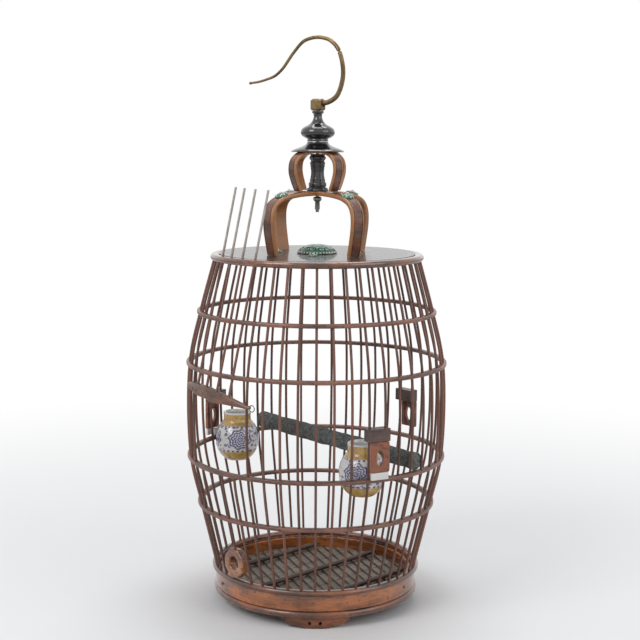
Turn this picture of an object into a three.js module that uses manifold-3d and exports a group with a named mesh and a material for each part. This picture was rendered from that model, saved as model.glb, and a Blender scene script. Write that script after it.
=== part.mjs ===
// Barrel-shaped bamboo songbird cage with a lifting door, two porcelain pots and a swivelling hook.
// Millimetres, +Z up. The origin is on the cage's axis at the height of the surface it stands on.
// Azimuths are in degrees from the front (-Y) towards the right (+X).
import * as THREE from "three";
import { mergeVertices } from "three/addons/utils/BufferGeometryUtils.js";
import Module from "manifold-3d";

const wasm = await Module();
wasm.setup();

// Driving dimensions: fits
const fitGap = 0.3;
const boreGap = 0.6;
const slideGap = 0.4;
const socketDepth = 4;

// Driving dimensions: bars and hoops
const barCount = 48;
const barDiameter = 3;
const barSides = 4;
const barSteps = 2;
const ringSides = 48;
const hoopHeight = 4.5;
const hoopWidth = 7.6;
const shoulderLevel = 343.7;
const shoulderRadius = 139.3;
const bellyLevel = 284.5;
const bellyRadius = 152;
const waistLevel = 174.7;
const waistRadius = 151.4;
const ankleLevel = 119.2;
const ankleRadius = 139.5;

// Driving dimensions: base ring, feet and floor
const footHeight = 12.4;
const footLength = 76;
const footThickness = 9;
const footHoleDiameter = 4;
const footHoleSpacing = 11.5;
const lowerBeadHeight = 8.4;
const lowerBeadRadius = 120.3;
const bandHeight = 18.1;
const bandRadius = 118.6;
const upperBeadHeight = 6.3;
const upperBeadRadius = 122.6;
const ringWall = 9;
const ledgeWidth = 6;
const floorBoardThickness = 5;
const battenHeight = 6;
const battenWidth = 7;
const battenSpacing = 74;
const splintHeight = 3;
const splintWidth = 3.4;
const splintPitch = 11.5;
const floorPinDiameter = 3;
const floorPinHead = 1.2;

// Driving dimensions: top
const rimLevel = 403.6;
const rimHeight = 7.4;
const rimRadius = 123.4;
const rimWidth = 10.1;
const boardThickness = 5;

// Driving dimensions: lifting door
const doorBars = 4;
const doorFirstAzimuth = -60;
const doorBellyRadius = 149.3;
const doorRimRadius = 119.9;
const doorTopLevel = 488;
const railTop = 270;
const railHeight = 15;
const railPendant = 7;
const railThickness = 7;
const railHoleDiameter = 3;
const railStartAzimuth = -69;
const railEndAzimuth = -26;

// Driving dimensions: feed port
const portAzimuth = -48.75;
const portDiameter = 27;
const portHole = 13;
const portThickness = 9;

// Driving dimensions: perch, pots and their holders
const perchDiameter = 19;
const perchStartAzimuth = -152.4;
const perchEndAzimuth = 49;
const potDiameter = 50;
const potHeight = 62;
const potMouth = 30;
const potWall = 2.6;
const potAzimuths = { right: 26.25, left: -123.75 };
const lugWidth = 9;
const lugHeight = 8;
const lugHeadWidth = 21;
const lugHeadThickness = 3;
const lugLevel = 30;
const holderAzimuths = { right: 26.25, left: -123.75, spare: 131.25 };
const holderWidth = 26;
const holderDepth = 12;
const holderHeadHeight = 14;
const holderHeadLevel = 219;
const holderPlateHeight = 33;
const holderPlateThickness = 3.4;
const windowWidth = 9;
const windowHeight = 17;
const potInset = 0.6;

// Driving dimensions: crowns
const crownAzimuth = 39.3;
const lowerCrownHeight = 72;
const lowerCrownFoot = 63;
const lowerCrownBulge = 72;
const lowerStrapWidth = 17;
const lowerStrapThickness = 5.2;
const upperCrownHeight = 47.5;
const upperCrownFoot = 29;
const upperCrownBulge = 42;
const upperStrapWidth = 12.5;
const upperStrapThickness = 4.2;
const spoolRadius = 12.4;
const finialDiscRadius = 30.5;
const finialDiscHeight = 9;
const finialHeight = 35;
const torusRadius = 19.8;
const neckRadius = 5.6;

// Driving dimensions: rod, block and hook
const rodDiameter = 4;
const rodEndLevel = 458.5;
const nutDiameter = 10;
const nutHeight = 7;
const blockSize = 14;
const blockHeight = 13.5;
const blockChamfer = 2;
const hookAzimuth = 62;
const hookThick = 6;
const hookThin = 2.6;
const hookSides = 7;

// Driving dimensions: enamel flowers
const flowerRadius = 23;
const flowerHeight = 13;
const studRadius = 8;
const studHeight = 5;
const smallStudRadius = 5.5;
const smallStudHeight = 3;
const smallStudPlace = 46;

// Derived levels and radii
const lowerBeadTop = footHeight + lowerBeadHeight;
const bandTop = lowerBeadTop + bandHeight;
const baseTop = bandTop + upperBeadHeight;
const boardTop = rimLevel + rimHeight;
const lowerCrownTop = boardTop + lowerCrownHeight;
const upperCrownTop = lowerCrownTop + upperCrownHeight;
const discTop = upperCrownTop + finialDiscHeight;
const finialTop = discTop + finialHeight;
const blockTop = finialTop + blockHeight;
const barRadius = barDiameter / 2;
const baseBarRadius = upperBeadRadius - ringWall / 2;
const rimBarRadius = rimRadius - rimWidth / 2 + 1;
const barStep = 360 / barCount;

// Materials
function material(color, roughness, metalness = 0) {
  return new THREE.MeshStandardMaterial({ color, roughness, metalness });
}
const bamboo = material(0x6e4334, 0.42);
const hoopBamboo = material(0x7d4c36, 0.42);
const glossWood = material(0x8a4a22, 0.25);
const beadWood = material(0x5a2c1a, 0.3);
const darkBoard = material(0x17110e, 0.3);
const crownWood = material(0x6a3a1e, 0.35);
const blackLacquer = material(0x0c0b0c, 0.12);
const floorWood = material(0x6f645a, 0.75);
const sandPerch = material(0x474b49, 0.95);
const porcelain = material(0xe6e0cf, 0.12);
const holderWood = material(0x7a3316, 0.35);
const brass = material(0x7d6a3d, 0.35, 1);
const enamel = material(0x0d5c3a, 0.2);

// Geometry helpers
const degrees = Math.PI / 180;

function around(azimuth, radius, level) {
  const angle = azimuth * degrees;
  return new THREE.Vector3(radius * Math.sin(angle), -radius * Math.cos(angle), level);
}

// A closed geometry as a solid, with its faces pointing out
function solid(geometry) {
  const bare = geometry.clone();
  bare.deleteAttribute("normal");
  bare.deleteAttribute("uv");
  const merged = mergeVertices(bare, 1e-4);
  const place = merged.attributes.position;
  const index = Array.from(merged.index.array);
  const corners = [0, 1, 2].map(() => new THREE.Vector3());
  const faces = [];
  let volume = 0;
  for (let i = 0; i < index.length; i += 3) {
    const face = index.slice(i, i + 3);
    if (new Set(face).size < 3) continue;
    face.forEach((vertex, k) => corners[k].fromBufferAttribute(place, vertex));
    volume += corners[0].dot(corners[1].cross(corners[2]));
    faces.push(face);
  }
  if (volume < 0) faces.forEach((face) => face.reverse());
  const mesh = new wasm.Mesh({
    numProp: 3,
    vertProperties: new Float32Array(place.array),
    triVerts: new Uint32Array(faces.flat()),
  });
  return new wasm.Manifold(mesh);
}

function geometryOf(shape) {
  const mesh = shape.getMesh();
  const geometry = new THREE.BufferGeometry();
  geometry.setAttribute("position", new THREE.BufferAttribute(new Float32Array(mesh.vertProperties), 3));
  geometry.setIndex(new THREE.BufferAttribute(new Uint32Array(mesh.triVerts), 1));
  geometry.computeVertexNormals();
  return geometry;
}

// Rings of points, joined in order and closed by a fan at each end
function loft(rings) {
  const count = rings[0].length;
  const points = rings.flat();
  const faces = [];
  for (let row = 0; row + 1 < rings.length; row += 1) {
    for (let k = 0; k < count; k += 1) {
      const a = row * count + k;
      const b = row * count + ((k + 1) % count);
      faces.push(a, b, b + count, a, b + count, a + count);
    }
  }
  const last = (rings.length - 1) * count;
  for (let k = 1; k + 1 < count; k += 1) {
    faces.push(0, k + 1, k, last, last + k, last + k + 1);
  }
  const geometry = new THREE.BufferGeometry().setFromPoints(points);
  geometry.setIndex(faces);
  return geometry;
}

// A round section swept along points; radiusAt gives the radius at a share of the way
function sweep(path, radiusAt, sides) {
  const rings = path.map((point, i) => {
    const ahead = path[Math.min(i + 1, path.length - 1)];
    const behind = path[Math.max(i - 1, 0)];
    const along = ahead.clone().sub(behind).normalize();
    const level = Math.abs(along.z) > 0.9 ? new THREE.Vector3(0, 1, 0) : new THREE.Vector3(0, 0, 1);
    const side = level.cross(along).normalize();
    const other = along.clone().cross(side);
    const radius = radiusAt(i / (path.length - 1));
    return Array.from({ length: sides }, (_, k) => {
      const turn = (2 * Math.PI * k) / sides;
      return point.clone()
        .addScaledVector(side, radius * Math.cos(turn))
        .addScaledVector(other, radius * Math.sin(turn));
    });
  });
  return loft(rings);
}

// A turned body about the Z axis from [radius, level] pairs
function turned(profile, segments = 24, phase = 0) {
  const points = profile.map(([radius, level]) => new THREE.Vector2(radius, level));
  const geometry = new THREE.LatheGeometry(points, segments, phase * degrees);
  return geometry.rotateX(Math.PI / 2);
}

function ring(inner, outer, low, high, segments, round = 0) {
  const profile = [[inner, low], [outer - round, low], [outer, low + round], [outer, high - round],
    [outer - round, high], [inner, high], [inner, low]];
  return turned(round ? profile : profile.filter((_, i) => i !== 1 && i !== 4), segments, barStep / 2);
}

function box(width, depth, height) {
  return new THREE.BoxGeometry(width, depth, height);
}

// A geometry drawn with its width along X and its outside facing -Y, set at an azimuth
function setAt(geometry, azimuth, radius, level) {
  const spot = around(azimuth, radius, level);
  return geometry.rotateZ(azimuth * degrees).translate(spot.x, spot.y, spot.z);
}

// A rod along the radial direction
function radialRod(diameter, length, azimuth, radius, level) {
  return setAt(new THREE.CylinderGeometry(diameter / 2, diameter / 2, length, 12), azimuth, radius, level);
}

const cage = new THREE.Group();

function add(name, shape, look) {
  const mesh = new THREE.Mesh(shape.isBufferGeometry ? geometryOf(solid(shape)) : geometryOf(shape), look);
  mesh.name = name;
  cage.add(mesh);
  return mesh;
}

// Barrel bars follow one smooth line through the centres of the hoops
const barLine = new THREE.CatmullRomCurve3([
  new THREE.Vector3(baseBarRadius, 0, baseTop),
  new THREE.Vector3(ankleRadius - hoopWidth / 2, 0, ankleLevel),
  new THREE.Vector3(waistRadius - hoopWidth / 2, 0, waistLevel),
  new THREE.Vector3(bellyRadius - hoopWidth / 2, 0, bellyLevel),
  new THREE.Vector3(shoulderRadius - hoopWidth / 2, 0, shoulderLevel),
  new THREE.Vector3(rimBarRadius, 0, rimLevel),
], false, "centripetal");

function barPath(azimuth) {
  const spans = barLine.points.length - 1;
  const places = barLine.getPoints(spans * barSteps);
  const path = places.map((place) => around(azimuth, place.x, place.z));
  path.unshift(around(azimuth, baseBarRadius, baseTop - socketDepth));
  path.push(around(azimuth, rimBarRadius, rimLevel + socketDepth));
  return path;
}

function barRadiusAtLevel(level) {
  const places = barLine.getPoints((barLine.points.length - 1) * barSteps);
  const next = places.findIndex((place) => place.z >= level);
  if (next === -1) return rimBarRadius;
  if (next === 0) return baseBarRadius;
  const share = (level - places[next - 1].z) / (places[next].z - places[next - 1].z);
  return places[next - 1].x + share * (places[next].x - places[next - 1].x);
}

// The section's flats face along the hoops, so that a bore follows its bar
function fixedBar(azimuth, radius) {
  return solid(sweep(barPath(azimuth), () => radius, barSides));
}

const fixedAzimuths = Array.from({ length: barCount }, (_, number) => number)
  .map((number) => number * barStep)
  .map((azimuth) => (azimuth > 180 ? azimuth - 360 : azimuth));
const doorAzimuths = Array.from({ length: doorBars }, (_, number) => doorFirstAzimuth + number * barStep);
const doorNeighbours = fixedAzimuths.filter((azimuth) =>
  doorAzimuths.some((door) => Math.abs(door - azimuth) < barStep / 2));

function union(shapes) {
  return shapes.reduce((whole, shape) => whole.add(shape));
}

// Below the door the barrel goes on with short bars from the waist hoop to the base
function lowerPath(azimuth) {
  const places = barPath(azimuth);
  return places.filter((place) => place.z < waistLevel + hoopHeight);
}

// The door's bars are straight and lean inwards, through the belly and shoulder hoops and the rim
const doorSlope = (doorBellyRadius - doorRimRadius) / (rimLevel - bellyLevel);
const railMiddle = railTop - railHeight / 2;

const doorMiddleAzimuth = doorFirstAzimuth + ((doorBars - 1) * barStep) / 2;

// A point of the door, which leans as a whole towards the axis, so that its bars stay parallel
function doorPoint(azimuth, radius, level) {
  const lean = around(doorMiddleAzimuth, (bellyLevel - level) * doorSlope, 0);
  return around(azimuth, radius, level).add(lean);
}

function doorPath(azimuth, low, high) {
  return [doorPoint(azimuth, doorBellyRadius, low), doorPoint(azimuth, doorBellyRadius, high)];
}

const fixedBars = fixedAzimuths.filter((azimuth) => !doorNeighbours.includes(azimuth));
const boreRadius = barRadius + boreGap;

// Straight bores for the bars between two levels, along the barrel's line there
function bores(azimuths, low, high) {
  const start = barRadiusAtLevel(low);
  const end = barRadiusAtLevel(high);
  return union(azimuths.map((azimuth) =>
    solid(sweep([around(azimuth, start, low), around(azimuth, end, high)], () => boreRadius, barSides))));
}

function hoopBores(azimuths, level) {
  return bores(azimuths, level - hoopHeight, level + hoopHeight);
}

const doorBores = union(doorAzimuths.map((azimuth) =>
  solid(sweep(doorPath(azimuth, railMiddle, doorTopLevel), () => barRadius + slideGap, barSides))));

function hoop(level, radius) {
  return solid(ring(radius - hoopWidth, radius, level - hoopHeight / 2, level + hoopHeight / 2, barCount));
}

// Feed port: an upright wooden ring on the base, with the two bars above it cut short
const portSpot = around(portAzimuth, baseBarRadius, baseTop + portDiameter / 2 + fitGap);

function portDisc(diameter, length) {
  const disc = new THREE.CylinderGeometry(diameter / 2, diameter / 2, length, 24);
  return disc.rotateZ(portAzimuth * degrees).translate(portSpot.x, portSpot.y, portSpot.z);
}

// The space of the port and everything straight below it, which the short bars stay out of
const portBelow = box(portDiameter, ringWall * 3, portDiameter).translate(0, 0, -portDiameter / 2);
const portSpace = solid(portDisc(portDiameter + 2 * fitGap, ringWall * 3))
  .add(solid(setAt(portBelow, portAzimuth, baseBarRadius, portSpot.z)));
const portRing = solid(portDisc(portDiameter, portThickness)).subtract(solid(portDisc(portHole, portThickness * 2)));

// Barrel: the fixed bars are pinned in the belly hoop, and the short bars hang from the waist hoop
const bellyHoop = hoop(bellyLevel, bellyRadius).subtract(doorBores);
const bars = union([bellyHoop, ...fixedBars.map((azimuth) => fixedBar(azimuth, barRadius))]);
add("barrel_bars_and_belly_hoop", bars.subtract(portSpace), bamboo);
const shortBars = doorAzimuths.map((azimuth) => solid(sweep(lowerPath(azimuth), () => barRadius, barSides)));
const waistHoop = union([hoop(waistLevel, waistRadius), ...shortBars]).subtract(hoopBores(fixedBars, waistLevel));
add("waist_hoop_and_short_bars", waistHoop.subtract(portSpace), hoopBamboo);
const shoulderHoop = hoop(shoulderLevel, shoulderRadius).subtract(hoopBores(fixedBars, shoulderLevel));
add("shoulder_hoop", shoulderHoop.subtract(doorBores), hoopBamboo);
add("ankle_hoop", hoop(ankleLevel, ankleRadius).subtract(hoopBores(fixedAzimuths, ankleLevel)), hoopBamboo);
add("feed_port_ring", portRing, holderWood);

// Base ring
const ringInner = bandRadius - ringWall;
const lowerBead = ring(ringInner - ledgeWidth, lowerBeadRadius, footHeight, lowerBeadTop - fitGap, ringSides, 2.4);
add("base_lower_bead", lowerBead, beadWood);
const pinLevel = lowerBeadTop + bandHeight / 2;
const pinAzimuths = [-1, 60, -65, 180];
const pinBores = union(pinAzimuths.map((azimuth) =>
  solid(radialRod(floorPinDiameter + 2 * fitGap, ringWall * 3, azimuth, bandRadius, pinLevel))));
const band = solid(ring(ringInner, bandRadius, lowerBeadTop, bandTop - fitGap, ringSides));
add("base_band", band.subtract(pinBores), glossWood);
const upperBead = solid(ring(upperBeadRadius - ringWall, upperBeadRadius, bandTop, baseTop, ringSides, 2));
const footedBars = fixedAzimuths.filter((azimuth) => Math.abs(azimuth - portAzimuth) > barStep);
add("base_upper_bead", upperBead.subtract(bores(footedBars, baseTop - socketDepth - fitGap, baseTop + 1)), beadWood);

// A curved plank from its lower and upper edges, given as functions of the azimuth
function plank(place, start, end, steps, inner, outer, low, high) {
  const rings = Array.from({ length: steps + 1 }, (_, i) => {
    const azimuth = start + ((end - start) * i) / steps;
    const share = i / steps;
    return [
      place(azimuth, inner, low(share)),
      place(azimuth, outer, low(share)),
      place(azimuth, outer, high(share)),
      place(azimuth, inner, high(share)),
    ];
  });
  return loft(rings);
}

// Feet: carved aprons with a flat toe, a cusp on each side and two holes
const footMiddle = lowerBeadRadius - footThickness;
const footReach = footLength / 2 / footMiddle / degrees;

function footEdge(share) {
  const across = Math.abs(2 * share - 1);
  const toe = 0.3;
  const rise = Math.max(0, across - toe) / (1 - toe);
  return (footHeight - 3) * (0.5 * rise + 0.5 * Math.abs(Math.sin(rise * Math.PI * 1.5)) * rise);
}

function foot(azimuth) {
  const body = solid(plank(around, azimuth - footReach, azimuth + footReach, 20,
    footMiddle - footThickness / 2, footMiddle + footThickness / 2,
    footEdge, () => footHeight - fitGap));
  const turn = footHoleSpacing / 2 / footMiddle / degrees;
  const holes = [-turn, turn].map((shift) =>
    solid(radialRod(footHoleDiameter, footThickness * 2, azimuth + shift, footMiddle, footHeight / 2)));
  return body.subtract(union(holes));
}

add("foot_front", foot(0), glossWood);
add("foot_left", foot(-120), glossWood);
add("foot_right", foot(120), glossWood);

// Floor: a board on the ledge of the lower bead, and a lift-out grating on it
const floorRadius = ringInner - fitGap;
const floorLevel = lowerBeadTop;
const floorDisc = turned([[0, floorLevel], [floorRadius, floorLevel],
  [floorRadius, floorLevel + floorBoardThickness], [0, floorLevel + floorBoardThickness]], ringSides, barStep / 2);
add("floor_board", floorDisc, floorWood);
const gratingLevel = floorLevel + floorBoardThickness + fitGap;
const gratingRadius = floorRadius - 1;

function chord(offset) {
  return 2 * Math.sqrt(Math.max(0, gratingRadius ** 2 - offset ** 2));
}

const gratingTurn = 45 * degrees;
const battens = [-battenSpacing, 0, battenSpacing].map((offset) =>
  solid(box(chord(Math.abs(offset) + battenWidth / 2), battenWidth, battenHeight)
    .translate(0, offset, battenHeight / 2)));
const splintRows = Math.floor(gratingRadius / splintPitch);
const splints = Array.from({ length: 2 * splintRows - 1 }, (_, i) => i - splintRows + 1).map((row) => {
  const offset = row * splintPitch;
  const length = chord(Math.abs(offset) + splintWidth / 2);
  return solid(box(splintWidth, length, splintHeight).translate(offset, 0, battenHeight));
}).filter((splint) => !splint.isEmpty());
const grating = union([...battens, ...splints]);
add("floor_grating", geometryOf(grating).rotateZ(gratingTurn).translate(0, 0, gratingLevel), floorWood);

// Brass pins through the base band, which hold the floor board
for (const [number, azimuth] of pinAzimuths.entries()) {
  const length = ringWall + floorPinHead;
  const pin = radialRod(floorPinDiameter, length, azimuth, bandRadius + floorPinHead - length / 2, pinLevel);
  add(`floor_pin_${number + 1}`, pin, brass);
}

// Top rim and lacquered board
const rimInner = rimRadius - rimWidth;
const rim = solid(ring(rimInner, rimRadius, rimLevel, boardTop, ringSides, 2.6));
const rimBores = bores(fixedBars, rimLevel - 1, rimLevel + socketDepth + fitGap);
add("top_rim", rim.subtract(rimBores).subtract(doorBores), beadWood);
const boardRadius = rimInner - fitGap;
const boardLow = boardTop - boardThickness;
const board = solid(turned([[0, boardLow], [boardRadius, boardLow], [boardRadius, boardTop], [0, boardTop]], ringSides, barStep / 2));
add("top_board", board, darkBoard);

// Crown arches: a strap bent from foot to foot over the axis
function strapPath(azimuth, foot, bulge, low, high) {
  const height = high - low;
  const half = [
    [foot, 0], [foot + (bulge - foot) * 0.45, 0.16], [bulge, 0.42], [bulge * 0.94, 0.64],
    [bulge * 0.72, 0.84], [bulge * 0.42, 0.95], [bulge * 0.16, 0.995],
  ];
  const left = half.map(([reach, share]) => new THREE.Vector3(-reach, 0, low + share * height));
  const right = half.slice().reverse().map(([reach, share]) => new THREE.Vector3(reach, 0, low + share * height));
  const curve = new THREE.CatmullRomCurve3([...left, ...right], false, "centripetal");
  return curve.getPoints(24).map((point) => point.applyAxisAngle(new THREE.Vector3(0, 0, 1), azimuth * degrees));
}

// The strap's outer face follows the path, so its feet stay flat on what carries them
function strap(azimuth, foot, bulge, low, high, width, thickness) {
  const path = strapPath(azimuth, foot, bulge, low, high);
  const across = around(azimuth, width / 2, 0);
  const rings = path.map((point, i) => {
    const ahead = path[Math.min(i + 1, path.length - 1)];
    const behind = path[Math.max(i - 1, 0)];
    const along = ahead.clone().sub(behind).normalize();
    const inward = along.cross(across.clone().normalize()).multiplyScalar(thickness);
    if (i === 0 || i === path.length - 1) inward.setZ(0);
    return [point.clone().sub(across), point.clone().add(across), point.clone().add(across).add(inward),
      point.clone().sub(across).add(inward)];
  });
  return solid(loft(rings));
}

// Two arches cross in a half lap: the first gives up its upper half, the second its lower half
function crown(name, foot, bulge, low, high, width, thickness) {
  const rodBore = solid(turned([[0, low], [rodDiameter / 2 + slideGap, low],
    [rodDiameter / 2 + slideGap, high + thickness], [0, high + thickness]], 16));
  const middle = high - thickness / 2;
  const lap = (azimuth, centre) => {
    const block = box(2 * bulge, width + 2 * fitGap, thickness + 10).translate(0, 0, centre);
    return solid(block.rotateZ(azimuth * degrees));
  };
  const reach = (thickness + 10) / 2;
  const first = strap(crownAzimuth, foot, bulge, low, high, width, thickness)
    .subtract(lap(crownAzimuth + 90, middle + reach));
  const second = strap(crownAzimuth + 90, foot, bulge, low, high, width, thickness)
    .subtract(lap(crownAzimuth, middle + fitGap - reach));
  add(`${name}_arch_under`, first.subtract(rodBore), crownWood);
  add(`${name}_arch_over`, second.subtract(rodBore), crownWood);
}

const bore = rodDiameter / 2 + slideGap;
crown("lower_crown", lowerCrownFoot, lowerCrownBulge, boardTop + fitGap, lowerCrownTop - fitGap,
  lowerStrapWidth, lowerStrapThickness);
crown("upper_crown", upperCrownFoot, upperCrownBulge, lowerCrownTop, upperCrownTop - fitGap,
  upperStrapWidth, upperStrapThickness);

// A turned piece with a bore for the rod
function bored(low, profile) {
  const points = profile.map(([radius, height]) => [radius, low + height]);
  const first = points[0][1];
  const last = points[points.length - 1][1];
  return turned([[bore, first], ...points, [bore, last], [bore, first]], 20);
}

const spoolHeight = upperCrownHeight - upperStrapThickness - 3 * fitGap;
add("crown_spool", bored(lowerCrownTop, [
  [spoolRadius, 0], [spoolRadius, 3], [spoolRadius - 2.4, 4.6], [spoolRadius - 3, 9], [spoolRadius - 6, 13],
  [spoolRadius - 6.6, 19], [spoolRadius - 3.6, 26], [spoolRadius - 2.8, 31], [spoolRadius - 5.6, 36],
  [spoolRadius - 4, spoolHeight - 3], [spoolRadius - 4, spoolHeight],
]), blackLacquer);
add("finial_brim", bored(upperCrownTop, [
  [neckRadius + 6, 0], [finialDiscRadius - 8, 1], [finialDiscRadius, 3.4], [finialDiscRadius, 5],
  [neckRadius + 9, 7.2], [neckRadius + 6.4, finialDiscHeight - fitGap],
]), blackLacquer);
add("finial_vase", bored(discTop, [
  [neckRadius + 6.4, 0], [neckRadius + 6.6, 3], [torusRadius - 3, 5], [torusRadius, 10], [torusRadius - 2, 15],
  [torusRadius - 8, 18.6], [neckRadius + 1.4, 22], [neckRadius - 0.8, 28], [neckRadius, 32],
  [neckRadius + 1.2, 33], [neckRadius + 1.2, finialHeight - fitGap],
]), blackLacquer);

// Rod, nut, block and hook turn together in the finial
const nutTop = rodEndLevel + nutHeight + 3;
const rod = turned([[0, rodEndLevel], [rodDiameter / 2, rodEndLevel],
  [rodDiameter / 2, finialTop + blockHeight - 4], [0, finialTop + blockHeight - 4]], 16);
add("hook_rod", rod, brass);
const nutBore = rodDiameter / 2 + fitGap;
add("rod_nut", turned([[nutBore, nutTop - nutHeight], [nutDiameter / 2 - 1.4, nutTop - nutHeight],
  [nutDiameter / 2, nutTop - nutHeight / 2], [nutDiameter / 2 - 1.4, nutTop], [nutBore, nutTop],
  [nutBore, nutTop - nutHeight]], 16), brass);

function chamferedBlock(size, height, chamfer) {
  const outline = (inset) => {
    const half = size / 2 - inset;
    const cut = half - chamfer;
    return [[half, -cut], [half, cut], [cut, half], [-cut, half], [-half, cut], [-half, -cut], [-cut, -half],
      [cut, -half]].map(([x, y]) => [x, y]);
  };
  const rows = [[0, chamfer / 2], [chamfer, 0], [height - chamfer, 0], [height, chamfer]];
  return loft(rows.map(([level, inset]) => outline(inset).map(([x, y]) => new THREE.Vector3(x, y, level))));
}

const hookSide = around(hookAzimuth, 1, 0);

function hookPoint(reach, level) {
  return hookSide.clone().multiplyScalar(reach).setZ(level);
}

const hookRise = blockTop - fitGap;
const hookCurve = new THREE.CatmullRomCurve3([
  [blockSize * 0.3, -6.4], [14, -4.5], [23.7, 1.5], [29, 11.5], [32, 26], [30.3, 41.5], [25.1, 55], [15.8, 64],
  [5.3, 67.6], [-5.3, 68], [-15.8, 65.6], [-21.4, 62.5], [-33, 50.5], [-46.8, 33.5], [-57, 25.6], [-67.4, 22],
  [-79, 19.2], [-89.5, 18],
].map(([reach, rise]) => hookPoint(reach, hookRise + rise)), false, "centripetal");
const hookRadius = (share) => (hookThick + (hookThin - hookThick) * share) / 2;
const hookWire = solid(sweep(hookCurve.getPoints(36), hookRadius, hookSides));
const hookBore = solid(sweep(hookCurve.getPoints(36).slice(0, 10), (share) => hookThick / 2 + fitGap, hookSides));
const blockBody = solid(chamferedBlock(blockSize, blockHeight - fitGap, blockChamfer)
  .rotateZ(hookAzimuth * degrees).translate(0, 0, finialTop));
const rodBoreInBlock = solid(turned([[0, finialTop - 1], [nutBore, finialTop - 1],
  [nutBore, finialTop + blockHeight - 3.7], [0, finialTop + blockHeight - 3.7]], 16));
add("hook_block", blockBody.subtract(hookBore).subtract(rodBoreInBlock), brass);
add("hook", hookWire.subtract(rodBoreInBlock), brass);

// Enamel flowers: one on the board, one on each shoulder of the lower crown, one at each foot
function flower(radius, height, petals) {
  const rows = [[1, 0], [1, 0.12], [0.86, 0.34], [0.6, 0.6], [0.3, 0.86], [0.08, 1]];
  return loft(rows.map(([share, level]) => Array.from({ length: petals * 4 }, (_, k) => {
    const turn = (2 * Math.PI * k) / (petals * 4);
    const reach = radius * share * (1 - 0.09 * (1 - Math.cos(petals * turn)) * share);
    return new THREE.Vector3(reach * Math.cos(turn), reach * Math.sin(turn), level * height);
  })));
}

add("board_flower", flower(flowerRadius, flowerHeight, 8).translate(0, 0, boardTop + fitGap), enamel);
for (let number = 0; number < 4; number += 1) {
  const azimuth = crownAzimuth + 90 * number;
  const spot = around(azimuth + 45, smallStudPlace, boardTop + fitGap);
  const stud = flower(smallStudRadius, smallStudHeight, 5).translate(spot.x, spot.y, spot.z);
  add(`board_stud_${number + 1}`, stud, enamel);
}

// Door: four straight bars in a curved wooden rail
const railBottom = railTop - railHeight;

function railEdge(share) {
  const across = Math.abs(2 * share - 1);
  const swell = Math.max(0, 1 - across / 0.62);
  return railBottom + 5 * across ** 3 - railPendant * Math.sin(swell * Math.PI / 2) ** 0.7;
}

function railCrest(share) {
  return railTop - 4 * Math.abs(2 * share - 1) ** 2;
}

const railBody = solid(plank(doorPoint, railStartAzimuth, railEndAzimuth, 24,
  doorBellyRadius - railThickness / 2, doorBellyRadius + railThickness / 2, railEdge, railCrest));
const railBores = union(doorAzimuths.map((azimuth) =>
  solid(sweep(doorPath(azimuth, railMiddle - fitGap, railTop + 20), () => boreRadius, barSides))));
const guideRadius = barRadius + 2 * slideGap;
const guides = [doorFirstAzimuth - barStep, doorFirstAzimuth + doorBars * barStep].map((azimuth) =>
  fixedBar(azimuth, guideRadius));
const railHoles = [0.3, 0.36].map((share) => {
  const azimuth = railStartAzimuth + share * (railEndAzimuth - railStartAzimuth);
  return solid(radialRod(railHoleDiameter, railThickness * 5, azimuth, doorBellyRadius, railMiddle + 2));
});
add("door_rail", railBody.subtract(railBores).subtract(union(guides)).subtract(union(railHoles)), holderWood);
for (const [number, azimuth] of doorAzimuths.entries()) {
  const top = doorTopLevel - number * 0.5;
  add(`door_bar_${number + 1}`, sweep(doorPath(azimuth, railMiddle, top), () => barRadius, barSides), bamboo);
}

// Perch: a sand-coated branch laid on the waist hoop, notched at both ends by the bars
const perchLevel = waistLevel + hoopHeight / 2 + perchDiameter / 2 + 1;
const perchReach = waistRadius - 1;
const perchStart = around(perchStartAzimuth, perchReach, perchLevel);
const perchEnd = around(perchEndAzimuth, perchReach, perchLevel);
const perchPath = Array.from({ length: 13 }, (_, i) => perchStart.clone().lerp(perchEnd, i / 12));

function perchRadius(share) {
  const lump = 0.5 * Math.sin(share * 21) + 0.35 * Math.sin(share * 47 + 1);
  return perchDiameter / 2 + lump - 0.4;
}

const perchBars = fixedBars.filter((azimuth) =>
  Math.abs(azimuth - perchEndAzimuth) < 2 * barStep || Math.abs(azimuth - perchStartAzimuth) < 2 * barStep);
const perchNotches = union(perchBars.map((azimuth) => fixedBar(azimuth, boreRadius)));
add("perch", solid(sweep(perchPath, perchRadius, 12)).subtract(perchNotches), sandPerch);

// Porcelain pots: a jar with a T-shaped lug that reaches out between two bars
// The lug lies on the waist hoop, and the jar hangs inside the hoop
const potLevel = waistLevel + hoopHeight / 2 + fitGap - lugLevel + lugHeight / 2;
const outerBar = barRadiusAtLevel(potLevel + lugLevel) + barRadius;
const potPlace = waistRadius - hoopWidth - potInset - potDiameter / 2;

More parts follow.
